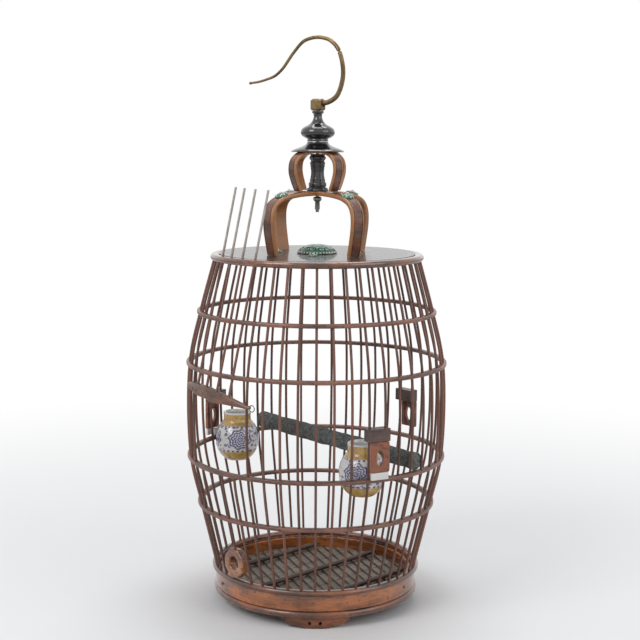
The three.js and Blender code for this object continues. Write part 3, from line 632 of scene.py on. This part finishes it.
class CAGE_OT_base(bpy.types.Operator):
    """Base ring with its beads, feet, floor and pins."""
    bl_idname = "birdcage.base"
    bl_label = "Base, feet and floor"

    def execute(self, context):
        tones = colours()
        band = round_finish("glossy_band", tones.band, tint(tones.band, 1.7), tint(tones.band, 0.3),
                            1.0, 0.18, 26)
        bead = round_finish("bead_lacquer", tones.lacquer, tint(tones.lacquer, 3.2), tint(tones.lacquer, 0.4),
                            0.8, 0.22, 30)
        foot = round_finish("foot_wood", tint(tones.lacquer, 1.4), tint(tones.lacquer, 3.5),
                            tint(tones.lacquer, 0.5), 0.4, 0.4, 60)
        rows = {
            "base_lower_bead": (rounded_outline(103.6, 120.3, 12.4, 20.5, 3.6), bead),
            "base_band": (rounded_outline(109.6, 118.6, 20.8, 38.6, 0.8), band),
            "base_upper_bead": (rounded_outline(113.6, 122.6, 38.9, 45.2, 2.9), bead),
        }
        for name, (outline, look) in rows.items():
            pile = Pile()
            pile.turn(outline, 192)
            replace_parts(pile.piece(f"{name}_turned", look, slot=name), name)
        for name in ("foot_front", "foot_left", "foot_right"):
            dress(name, foot)
        dress("floor_board", floor_wood_finish("floor_planks", 0.034))
        lo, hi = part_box("floor_grating")
        reach = (hi.x - lo.x) / 2 / MM
        low = lo.z / MM
        splints = Pile()
        battens = Pile()
        for pile, heading, pitch, count, level, thick in (
                (splints, 20.3, 11.5, 9, low + 1.0, 0.9), (battens, 135.0, 73.0, 1, low + 4.8, 3.0)):
            run = around(heading, 1, 0)
            side = around(heading + 90, 1, 0)
            for row in range(-count, count + 1):
                half = math.sqrt(max(0.0, reach ** 2 - (row * pitch) ** 2)) - 2
                if half > 5:
                    ends = [side * (row * pitch) + run * (half * share / 12) + Vector((0, 0, level))
                            for share in range(-12, 13)]
                    pile.sweep(ends, lambda share: thick * min(1.0, 0.45 + 9 * share, 9.45 - 9 * share), 10)
        dark = round_finish("batten_wood", (0.045, 0.022, 0.014), (0.10, 0.055, 0.035), (0.018, 0.01, 0.007),
                            0.2, 0.4, 200)
        piece = splints.piece("floor_splints", dark, slot="floor_grating")
        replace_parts(piece, "floor_grating")
        battens.piece("floor_battens", dark, slot="floor_grating")
        pin = brass_finish("pin_brass", tint(tones.brass, 1.5))
        for number in range(1, 5):
            dress(f"floor_pin_{number}", pin)
        return {"FINISHED"}


def dress(node, material):
    """Gives a frame node a finish of its own."""
    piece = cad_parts[node]
    piece.data.materials.clear()
    piece.data.materials.append(material)


def turned_piece(name, node, profile, material, body="root", sides=96):
    """A turned piece with a thin bore, from (radius, level) pairs."""
    pile = Pile()
    pile.turn(profile, sides)
    piece = pile.piece(name, material, body=body, slot=node)
    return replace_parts(piece, node)


def strap_path(azimuth, half, low, high):
    """The outer line of a crown's strap, from one foot over the top to the other."""
    height = high - low
    points = [(-reach, 0, low + share * height) for reach, share in half]
    points += [(reach, 0, low + share * height) for reach, share in reversed(half)]
    turn = Matrix.Rotation(math.radians(azimuth), 3, "Z")
    return [turn @ place for place in smooth_line(points, 6)]


def strap(pile, azimuth, path, width, thickness):
    """A bent strap with rounded edges and a groove along each border."""
    across = around(azimuth, 1, 0)
    section = [(-0.5, 0.72), (-0.5, 0.28), (-0.46, 0.08), (-0.41, 0.0), (-0.37, 0.0), (-0.345, 0.12),
               (-0.32, 0.12), (-0.295, 0.0), (0.295, 0.0), (0.32, 0.12), (0.345, 0.12), (0.37, 0.0),
               (0.41, 0.0), (0.46, 0.08), (0.5, 0.28), (0.5, 0.72), (0.44, 1.0), (-0.44, 1.0)]
    rings = []
    for i, point in enumerate(path):
        along = (path[min(i + 1, len(path) - 1)] - path[max(i - 1, 0)]).normalized()
        inward = along.cross(across)
        if i in (0, len(path) - 1):
            inward.z = 0
        rings.append([point + across * (width * side) + inward * (thickness * depth)
                      for side, depth in section])
    pile.loft(rings, shade=[1.0 if abs(side) > 0.4 else 0.0 for side, _ in section])


class CAGE_OT_top(bpy.types.Operator):
    """Rim, lacquered board, crowns, spool and finial."""
    bl_idname = "birdcage.top"
    bl_label = "Top and crowns"

    def execute(self, context):
        tones = colours()
        rim_look = round_finish("rim_lacquer", tones.lacquer, tint(tones.lacquer, 3.2),
                                tint(tones.lacquer, 0.4), 0.9, 0.2, 30)
        rim = Pile()
        rim.turn(rounded_outline(113.3, 123.4, RIM_LEVEL, BOARD_TOP, 3.3), 192)
        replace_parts(rim.piece("rim_turned", rim_look, slot="top_rim"), "top_rim")
        dress("top_board", board_finish((0.012, 0.009, 0.008)))
        strap_look = round_finish("strap_wood", tint(tones.lacquer, 1.1), tint(tones.lacquer, 2.6),
                                  tint(tones.lacquer, 0.4), 0.5, 0.3, 120, (0.42, 0.17, 0.05))
        crowns = (("lower_crown", LOWER_STRAP, BOARD_TOP + FIT_GAP, LOWER_CROWN_TOP - FIT_GAP, 17, 5.2),
                  ("upper_crown", UPPER_STRAP, LOWER_CROWN_TOP, UPPER_CROWN_TOP - FIT_GAP, 12.5, 4.2))
        for name, half, low, high, width, thickness in crowns:
            for order, turn in (("under", 0), ("over", 90)):
                pile = Pile()
                path = strap_path(CROWN_AZIMUTH + turn, half, low, high)
                strap(pile, CROWN_AZIMUTH + turn, path, width, thickness)
                piece = pile.piece(f"{name}_strap_{order}", strap_look, slot=f"{name}_arch_{order}")
                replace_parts(piece, f"{name}_arch_{order}")
        black = lacquer_finish("black_lacquer", (0.008, 0.007, 0.008), 0.12)
        spool = [(3, 0), (12.2, 0), (12.4, 1.4), (11.8, 2.8), (10.4, 3.6), (9.4, 4.6), (10.2, 5.8),
                 (10.2, 8.6), (9.2, 9.8), (8.6, 10.8), (9, 12), (8.3, 14), (7.6, 18), (7.4, 22), (7.8, 26),
                 (8.4, 29), (8.2, 30), (8.8, 31.2), (8.6, 32.6), (7.6, 33.6), (8, 35), (9.2, 36.4),
                 (9.6, 38.4), (8.4, 39.6), (8.4, 42.2), (3, 42.2)]
        turned_piece("spool_turned", "crown_spool", [(r, LOWER_CROWN_TOP + z) for r, z in spool],
                     spool_finish())
        brim = [(3, 0), (11.6, 0), (18, -0.3), (24, -1.2), (28, -2.3), (30.2, -3.2), (30.7, -2.6),
                (30.2, -1.7), (26, 0.4), (20, 2.6), (15, 4.6), (12.8, 6.4), (12, 8.7), (3, 8.7)]
        turned_piece("brim_turned", "finial_brim", [(r, UPPER_CROWN_TOP + z) for r, z in brim], black)
        vase_low = UPPER_CROWN_TOP + 9
        vase = [(3, 0), (12, 0), (12.3, 1.4), (11.8, 2.8), (14.4, 4), (17.8, 6), (19.4, 8.4), (19.8, 10.4),
                (19.2, 13), (17.4, 15.2), (14, 17.2), (10.4, 19), (8, 21), (6.2, 23.6), (5, 26.6), (4.8, 29),
                (5.2, 31.4), (6.4, 32.2), (6.9, 33), (6.6, 34.4), (5.4, 34.7), (3, 34.7)]
        turned_piece("vase_turned", "finial_vase", [(r, vase_low + z) for r, z in vase], black)
        return {"FINISHED"}


def petalled(pile, centre, radius, height, petals, rows=10):
    """A domed flower: lobed at its rim and grooved between its petals."""
    rings = []
    sides = petals * 8
    for row in range(rows + 1):
        share = row / rows
        ring = []
        for k in range(sides):
            turn = 2 * math.pi * k / sides
            lobe = abs(math.cos(petals * turn / 2))
            notch = 1 - 0.12 * (1 - lobe ** 0.5) * (1 - share)
            reach = radius * math.cos(share * math.pi / 2 * 0.98) * notch
            lift = height * (math.sin(share * math.pi / 2) - 0.05 * (1 - lobe) * math.sin(share * math.pi))
            ring.append(centre + Vector((reach * math.cos(turn), reach * math.sin(turn), lift)))
        rings.append(ring)
    rings.insert(0, [Vector((point.x, point.y, centre.z)) for point in rings[0]])
    pile.loft(rings)


def bead(pile, centre, radius):
    """A small round bead."""
    rings = []
    for row in range(1, 6):
        polar = math.pi * row / 6
        rings.append([centre + Vector((radius * math.sin(polar) * math.cos(turn * math.pi / 4),
                                       radius * math.sin(polar) * math.sin(turn * math.pi / 4),
                                       -radius * math.cos(polar))) for turn in range(8)])
    pile.loft(rings)


class CAGE_OT_enamel(bpy.types.Operator):
    """Enamel flowers and their beads."""
    bl_idname = "birdcage.enamel"
    bl_label = "Enamel flowers"

    def execute(self, context):
        green = enamel_finish(colours().enamel)
        white = bead_finish()
        foot = Vector((0, 0, BOARD_TOP + FIT_GAP))
        flower = Pile()
        petalled(flower, foot, 23, 10.4, 8)
        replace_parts(flower.piece("flower_petals", green, slot="board_flower"), "board_flower")
        beads = Pile()
        for ring, count, lift, size in ((22.4, 36, 1.3, 1.2), (18.6, 16, 5.2, 1.1)):
            for k in range(count):
                turn = 2 * math.pi * k / count
                bead(beads, foot + Vector((ring * math.cos(turn), ring * math.sin(turn), lift)), size)
        beads.piece("flower_beads", white, slot="board_flower")
        for number in range(4):
            spot = around(CROWN_AZIMUTH + 45 + 90 * number, 46, BOARD_TOP + FIT_GAP)
            stud = Pile()
            petalled(stud, spot, 5.5, 2.6, 5, 6)
            piece = stud.piece(f"stud_petals_{number + 1}", green, slot=f"board_stud_{number + 1}")
            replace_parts(piece, f"board_stud_{number + 1}")
            dots = Pile()
            for k in range(5):
                turn = 2 * math.pi * k / 5
                bead(dots, spot + Vector((4 * math.cos(turn), 4 * math.sin(turn), 1.8)), 0.8)
            bead(dots, spot + Vector((0, 0, 2.6)), 1.2)
            dots.piece(f"stud_beads_{number + 1}", white, slot=f"board_stud_{number + 1}")
        for order, turn in (("under", 0), ("over", 90)):
            path = strap_path(CROWN_AZIMUTH + turn, LOWER_STRAP, BOARD_TOP + FIT_GAP,
                              LOWER_CROWN_TOP - FIT_GAP)
            for end, spot in (("a", 31), ("b", len(path) - 32)):
                along = (path[spot + 1] - path[spot - 1]).normalized()
                out = Vector((0, 0, 1)) - along * along.z
                lay = Matrix.Translation(path[spot]) @ out.to_track_quat("Z", "Y").to_matrix().to_4x4()
                rosette = Pile()
                petalled(rosette, Vector((0, 0, 0)), 7.6, 3.6, 8, 6)
                rosette.points = [lay @ point for point in rosette.points]
                rosette.piece(f"shoulder_petals_{order}_{end}", green, slot=f"lower_crown_arch_{order}")
                dots = Pile()
                for k in range(8):
                    place = 2 * math.pi * k / 8
                    bead(dots, lay @ Vector((6.6 * math.cos(place), 6.6 * math.sin(place), 1.7)), 0.95)
                bead(dots, lay @ Vector((0, 0, 3.7)), 1.6)
                dots.piece(f"shoulder_beads_{order}_{end}", white, slot=f"lower_crown_arch_{order}")
        return {"FINISHED"}


class CAGE_OT_door(bpy.types.Operator):
    """Rail and bars of the lifting door."""
    bl_idname = "birdcage.door"
    bl_label = "Door"

    def execute(self, context):
        sizes = settings()
        look = door_bar_finish(colours().bamboo)
        for number, azimuth in enumerate(DOOR_AZIMUTHS):
            top = 488 - number * 0.5
            path = [door_point(azimuth, DOOR_BELLY_RADIUS, 262.5 + (top - 262.5) * k / 20) for k in range(21)]
            pile = Pile()
            radius = sizes.bar_diameter / MM / 2
            pile.sweep(path, lambda share: radius * (1 - 0.12 * share), sizes.bar_sides, 0.75)
            piece = pile.piece(f"door_stick_{number + 1}", look, body="door", slot=f"door_bar_{number + 1}")
            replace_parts(piece, f"door_bar_{number + 1}")
        rail_look = round_finish("rail_wood", (0.11, 0.042, 0.022), (0.20, 0.085, 0.045),
                                 (0.04, 0.016, 0.010), 0.4, 0.32, 60)
        crest = smooth_line([(0, 0, 268), (0.12, 0, 270.3), (0.32, 0, 270.6), (0.52, 0, 268.4),
                             (0.7, 0, 264.8), (0.86, 0, 260.6), (1, 0, 256.4)], 6)
        depths = smooth_line([(0, 0, 3), (0.1, 0, 8.6), (0.3, 0, 12.4), (0.5, 0, 12.6), (0.7, 0, 9.4),
                              (0.88, 0, 6), (1, 0, 3)], 6)
        rings = []
        for top, depth in zip(crest, depths):
            azimuth = -69 + 43 * top.x
            half = 3.5 - 1.6 * top.x ** 4
            corner = min(1.4, depth.z * 0.4, half * 0.6)
            section = rounded_outline(-half, half, top.z - depth.z, top.z, corner, 3)
            rings.append([door_point(azimuth, DOOR_BELLY_RADIUS + reach, level) for reach, level in section])
        rail = Pile()
        rail.loft(rings)
        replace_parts(rail.piece("rail_carved", rail_look, body="door", slot="door_rail"), "door_rail")
        # Painted shade: two near-black beads on the rail stand in for the shade inside its two holes.
        holes = Pile()
        for azimuth in (-62.2, -58.2):
            bead(holes, door_point(azimuth, DOOR_BELLY_RADIUS + 2.4, 264.4), 1.7)
        holes.piece("rail_hole_shades", lacquer_finish("painted_hole_shade", (0.003, 0.002, 0.002), 0.9), body="door",
                    slot="door_rail")
        tip = door_point(-25.4, DOOR_BELLY_RADIUS, 256.4)
        along = around(-25.2 + 90, 1, 0)
        turns = [tip + along * (3.2 * math.sin(turn)) + Vector((0, 0, 3.6 * math.cos(turn) - 2))
                 for turn in (2 * math.pi * k / 16 for k in range(17))]
        wire = Pile()
        wire.sweep(turns, lambda share: 0.5, 8)
        wire.piece("rail_loop", brass_finish("loop_wire", (0.12, 0.11, 0.1)), body="door", slot="door_rail")
        return {"FINISHED"}


def pot_piece(name, node, azimuth, material):
    """A jar and its lug; the chart gives the turn and the height to the painted pattern."""
    place = around(azimuth, 118.2, 151.25)
    outside = [(0.5, 0), (12, 0), (14, 0.6), (17.2, 3), (20.6, 6.6), (23.8, 12), (25.9, 18), (26.5, 24.5),
               (26.2, 31), (24.8, 37), (22.2, 42), (19.4, 45.6), (17.3, 48), (16.5, 50), (16.3, 54),
               (16.7, 57.2), (16.8, 58.6), (16.2, JAR_HEIGHT)]
    inside = [(14.8, JAR_HEIGHT), (14.2, 58.2), (13.8, 55), (13.9, 51), (15.4, 47), (19.6, 43), (22.6, 36),
              (23.7, 28), (22.8, 18), (19, 9), (13, 5), (0.5, 5)]
    sides = 72
    profile = outside + inside
    points = []
    faces = []
    chart = []
    jar = place - around(azimuth, 1.6, 0)
    for k in range(sides):
        for radius, height in profile:
            points.append(jar + around(azimuth + 180 + 360 * k / sides, radius, height))
    count = len(profile)
    for k in range(sides):
        for j in range(count - 1):
            corners = ((k, j), (k + 1, j), (k + 1, j + 1), (k, j + 1))
            faces.append(tuple((row % sides) * count + column for row, column in corners))
            lining = j >= len(outside) - 1
            for row, column in corners:
                height = 1.0 if lining else profile[column][1] / JAR_HEIGHT
                chart.append((row / sides, height))
    faces.append(tuple(k * count for k in reversed(range(sides))))
    chart.extend([(0, 0)] * sides)
    faces.append(tuple(k * count + count - 1 for k in range(sides)))
    chart.extend([(0, 1)] * sides)
    turn = Matrix.Rotation(math.radians(azimuth), 3, "Z")
    for low, high in (((-4.5, -35.9, 26), (4.5, -22, 34)), ((-10.5, -38.9, 26), (10.5, -35.9, 34))):
        base = len(points)
        for z in (low[2], high[2]):
            for x, y in ((low[0], low[1]), (high[0], low[1]), (high[0], high[1]), (low[0], high[1])):
                points.append(place + turn @ Vector((x, y, 0)) + Vector((0, 0, z)))
        for face in ((3, 2, 1, 0), (4, 5, 6, 7), (0, 1, 5, 4), (1, 2, 6, 5), (2, 3, 7, 6), (3, 0, 4, 7)):
            faces.append(tuple(base + corner for corner in face))
            chart.extend([(0, 1)] * 4)
    mesh = bpy.data.meshes.new(name)
    mesh.from_pydata([tuple(point * MM) for point in points], [], faces)
    layer = mesh.uv_layers.new(name="chart")
    for i, pair in enumerate(chart):
        layer.data[i].uv = pair
    mesh.polygons.foreach_set("use_smooth", [True] * len(mesh.polygons))
    mesh.materials.append(material)
    piece = bpy.data.objects.new(name, mesh)
    bpy.context.scene.collection.objects.link(piece)
    bevel = piece.modifiers.new("edge", "BEVEL")
    bevel.width = 0.5 * MM
    bevel.segments = 2
    bevel.angle_limit = math.radians(50)
    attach(piece, "root")
    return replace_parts(piece, node)


class CAGE_OT_inside(bpy.types.Operator):
    """Perch, pots, holders and the feed port."""
    bl_idname = "birdcage.inside"
    bl_label = "Perch and pots"

    def execute(self, context):
        sizes = settings()
        porcelain = porcelain_finish(colours().glaze)
        for side in ("right", "left"):
            pot_piece(f"jar_{side}", f"pot_{side}", HOLDER_AZIMUTHS[side], porcelain)
        plate = round_finish("plate_wood", (0.15, 0.032, 0.011), (0.30, 0.085, 0.028), (0.045, 0.012, 0.006),
                             0.6, 0.28, 200)
        head = round_finish("head_wood", (0.075, 0.036, 0.026), (0.15, 0.085, 0.065), (0.025, 0.013, 0.010),
                            0.3, 0.4, 200)
        for side, azimuth in HOLDER_AZIMUTHS.items():
            dress(f"holder_{side}_head", head)
            middle = around(azimuth, 155.4, 202.2)
            across = around(azimuth + 90, 1, 0)
            thick = around(azimuth, 1.7, 0)
            rim = []
            window = []
            for k in range(48):
                turn = 2 * math.pi * (k + 0.5) / 48
                ray = (math.cos(turn), math.sin(turn))
                reach = min(11.5 / abs(ray[0]), 16.5 / abs(ray[1]))
                rim.append(across * (ray[0] * reach) + Vector((0, 0, ray[1] * reach)))
                window.append(across * (4.6 * ray[0]) + Vector((0, 0, 8.6 * ray[1] - 1)))
            board = Pile()
            board.loft([[middle + way + spot for spot in edge]
                        for edge, way in ((rim, thick), (rim, -thick), (window, -thick), (window, thick))],
                       closed=True)
            piece = board.piece(f"plate_{side}", plate, slot=f"holder_{side}_plate")
            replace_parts(piece, f"holder_{side}_plate")
        ring = round_finish("port_wood", (0.24, 0.075, 0.022), (0.42, 0.17, 0.06), (0.08, 0.024, 0.01),
                            0.8, 0.2, 90)
        place = around(DOOR_MIDDLE - 0.8, BASE_BAR_RADIUS, BASE_TOP + 18.4)
        out = around(DOOR_MIDDLE, 1, 0)
        side = around(DOOR_MIDDLE + 90, 1, 0)
        port = Pile()
        outline = rounded_outline(7.4, 17.8, -4.5, 4.5, 2.2)
        rings = []
        for k in range(96):
            turn = 2 * math.pi * k / 96
            ray = side * math.cos(turn) + Vector((0, 0, math.sin(turn)))
            corner = math.cos(math.pi / 8) / math.cos((turn + math.pi / 8) % (math.pi / 4) - math.pi / 8)
            facet = 1 + (corner - 1) * 0.8
            rings.append([place + ray * (reach * (facet if reach > 11 else 1)) + out * depth
                          for reach, depth in outline])
        port.loft(rings, closed=True)
        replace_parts(port.piece("port_carved", ring, slot="feed_port_ring"), "feed_port_ring")
        level = 174.7 + 2.25 + 9.5 + 1
        start = around(-152.4, 146, level)
        end = around(49, 146, level)
        path = [start.lerp(end, k / 60) for k in range(61)]
        lumps = random.Random(sizes.seed)
        phases = [lumps.random() * 6.28 for _ in range(4)]

        def thickness(share):
            swell = sum(math.sin(share * rate + phase) for rate, phase in zip((17, 31, 53, 90), phases))
            return sizes.perch_diameter / MM / 2 * (0.95 + 0.022 * swell)

        branch = Pile()
        branch.sweep(path, thickness, 32)
        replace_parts(branch.piece("branch", sand_finish(), slot="perch"), "perch")
        return {"FINISHED"}


class CAGE_OT_hook(bpy.types.Operator):
    """Hook, its block and the rod."""
    bl_idname = "birdcage.hook"
    bl_label = "Hook"

    def execute(self, context):
        brass = brass_finish("hook_brass", colours().brass)
        rise = 589.0 - 0.3
        side = around(HOOK_AZIMUTH, 1, 0)
        points = [(4.2, -6.4), (14, -4.5), (23.7, 1.5), (29, 11.5), (32, 26), (30.3, 41.5), (25.1, 55),
                  (15.8, 64), (5.3, 67.6), (-5.3, 68), (-15.8, 65.6), (-21.4, 62.5), (-33, 50.5),
                  (-46.8, 33.5), (-57, 25.6), (-67.4, 22), (-79, 19.2), (-89.5, 18)]
        line = smooth_line([side * reach + Vector((0, 0, rise + lift)) for reach, lift in points], 6)
        wire = Pile()
        wire.sweep(line, lambda share: (6 - 3.4 * share) / 2, 20)
        bead(wire, line[-1], 1.9)
        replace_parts(wire.piece("hook_wire", brass, body="hook_head", slot="hook"), "hook")
        steel = brass_finish("rod_steel", (0.32, 0.31, 0.29))
        lo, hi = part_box("rod_nut")
        low = lo.z / MM
        high = LOWER_CROWN_TOP - FIT_GAP - 5.2
        sleeve = [(2.05, low), (2.7, low), (2.9, low + 0.8)]
        knob = [(2.7, 7.2), (3.6, 6.4), (4.8, 5.2), (5.0, 3.4), (4.4, 1.8), (2.9, 1.2), (2.05, 1.2)]
        outline = sleeve + [(radius, high - drop) for radius, drop in knob]
        turned_piece("nut_turned", "rod_nut", outline, steel, "hook_head", 40)
        dress("hook_block", brass)
        dress("hook_rod", steel)
        return {"FINISHED"}


class CAGE_OT_stage(bpy.types.Operator):
    """Floor, light and camera."""
    bl_idname = "birdcage.stage"
    bl_label = "Stage"

    def execute(self, context):
        scene = bpy.context.scene
        view = scene.birdcage_stage
        mesh = bpy.data.meshes.new("floor")
        reach = 12.0
        mesh.from_pydata([(-reach, -reach, 0), (reach, -reach, 0), (reach, reach, 0), (-reach, reach, 0)], [],
                         [(0, 1, 2, 3)])
        mesh.materials.append(stage_finish())
        floor = bpy.data.objects.new("floor", mesh)
        scene.collection.objects.link(floor)
        camera = bpy.data.objects.new("camera", bpy.data.cameras.new("camera"))
        scene.collection.objects.link(camera)
        camera.data.lens = view.lens
        camera.data.sensor_width = 36.0
        camera.data.shift_x = 3.3 / 640
        camera.data.clip_end = 40
        camera.location = (0, -view.distance, view.height)
        tilt = Matrix.Rotation(math.pi / 2 - view.pitch, 4, "X")
        lean = Matrix.Rotation(view.roll, 4, "Z")
        camera.matrix_world = Matrix.Translation(camera.location) @ tilt @ lean
        scene.camera = camera
        lamps = (("key", (-1.6, -1.5, 1.9), 26, 1.2), ("fill", (1.8, -1.2, 1.2), 12, 1.5),
                 ("top", (0.1, 0.5, 2.2), 18, 1.2))
        for name, place, power, size in lamps:
            light = bpy.data.lights.new(name, "AREA")
            light.energy = power
            light.size = size
            lamp = bpy.data.objects.new(name, light)
            scene.collection.objects.link(lamp)
            lamp.location = place
            aim = Vector((0, 0, 0.3)) - Vector(place)
            lamp.rotation_euler = aim.to_track_quat("-Z", "Y").to_euler()
        world = bpy.data.worlds.new("studio")
        scene.world = world
        world.use_nodes = True
        tree = world.node_tree
        tree.nodes.clear()
        path, seen, seen_all, soft, white, either, out = (tree.nodes.new(kind) for kind in (
            "ShaderNodeLightPath", "ShaderNodeMath", "ShaderNodeMath", "ShaderNodeBackground",
            "ShaderNodeBackground", "ShaderNodeMixShader", "ShaderNodeOutputWorld"))
        seen.operation = "MAXIMUM"
        seen_all.operation = "MAXIMUM"
        soft.inputs["Color"].default_value = (0.9, 0.93, 1.0, 1.0)
        soft.inputs["Strength"].default_value = 0.45
        white.inputs["Color"].default_value = (1.0, 1.0, 1.0, 1.0)
        tree.links.new(path.outputs["Is Camera Ray"], seen.inputs[0])
        tree.links.new(path.outputs["Is Transmission Ray"], seen.inputs[1])
        tree.links.new(seen.outputs[0], seen_all.inputs[0])
        tree.links.new(path.outputs["Is Glossy Ray"], seen_all.inputs[1])
        tree.links.new(seen_all.outputs[0], either.inputs[0])
        tree.links.new(soft.outputs[0], either.inputs[1])
        tree.links.new(white.outputs[0], either.inputs[2])
        tree.links.new(either.outputs[0], out.inputs[0])
        scene.view_settings.view_transform = "Standard"
        return {"FINISHED"}


class CAGE_PT_panel(bpy.types.Panel):
    """Lists the pieces of the birdcage."""
    bl_idname = "CAGE_PT_panel"
    bl_label = "Birdcage"
    bl_space_type = "VIEW_3D"
    bl_region_type = "UI"
    bl_category = "Birdcage"

    def draw(self, context):
        for name in STEPS:
            self.layout.operator(f"birdcage.{name}")


STEPS = ("stage", "barrel", "base", "top", "enamel", "door", "inside", "hook")
CLASSES = (CageSettings, ColourSettings, StageSettings, CAGE_OT_stage, CAGE_OT_barrel, CAGE_OT_base,
           CAGE_OT_top, CAGE_OT_enamel, CAGE_OT_door, CAGE_OT_inside, CAGE_OT_hook, CAGE_PT_panel)


def register():
    for cls in CLASSES:
        bpy.utils.register_class(cls)
    bpy.types.Scene.birdcage_sizes = PointerProperty(type=CageSettings)
    bpy.types.Scene.birdcage_colours = PointerProperty(type=ColourSettings)
    bpy.types.Scene.birdcage_stage = PointerProperty(type=StageSettings)


def unregister():
    del bpy.types.Scene.birdcage_stage
    del bpy.types.Scene.birdcage_colours
    del bpy.types.Scene.birdcage_sizes
    for cls in reversed(CLASSES):
        bpy.utils.unregister_class(cls)


def main():
    register()
    for name in STEPS:
        getattr(bpy.ops.birdcage, name)()


if __name__ == "__main__":
    main()
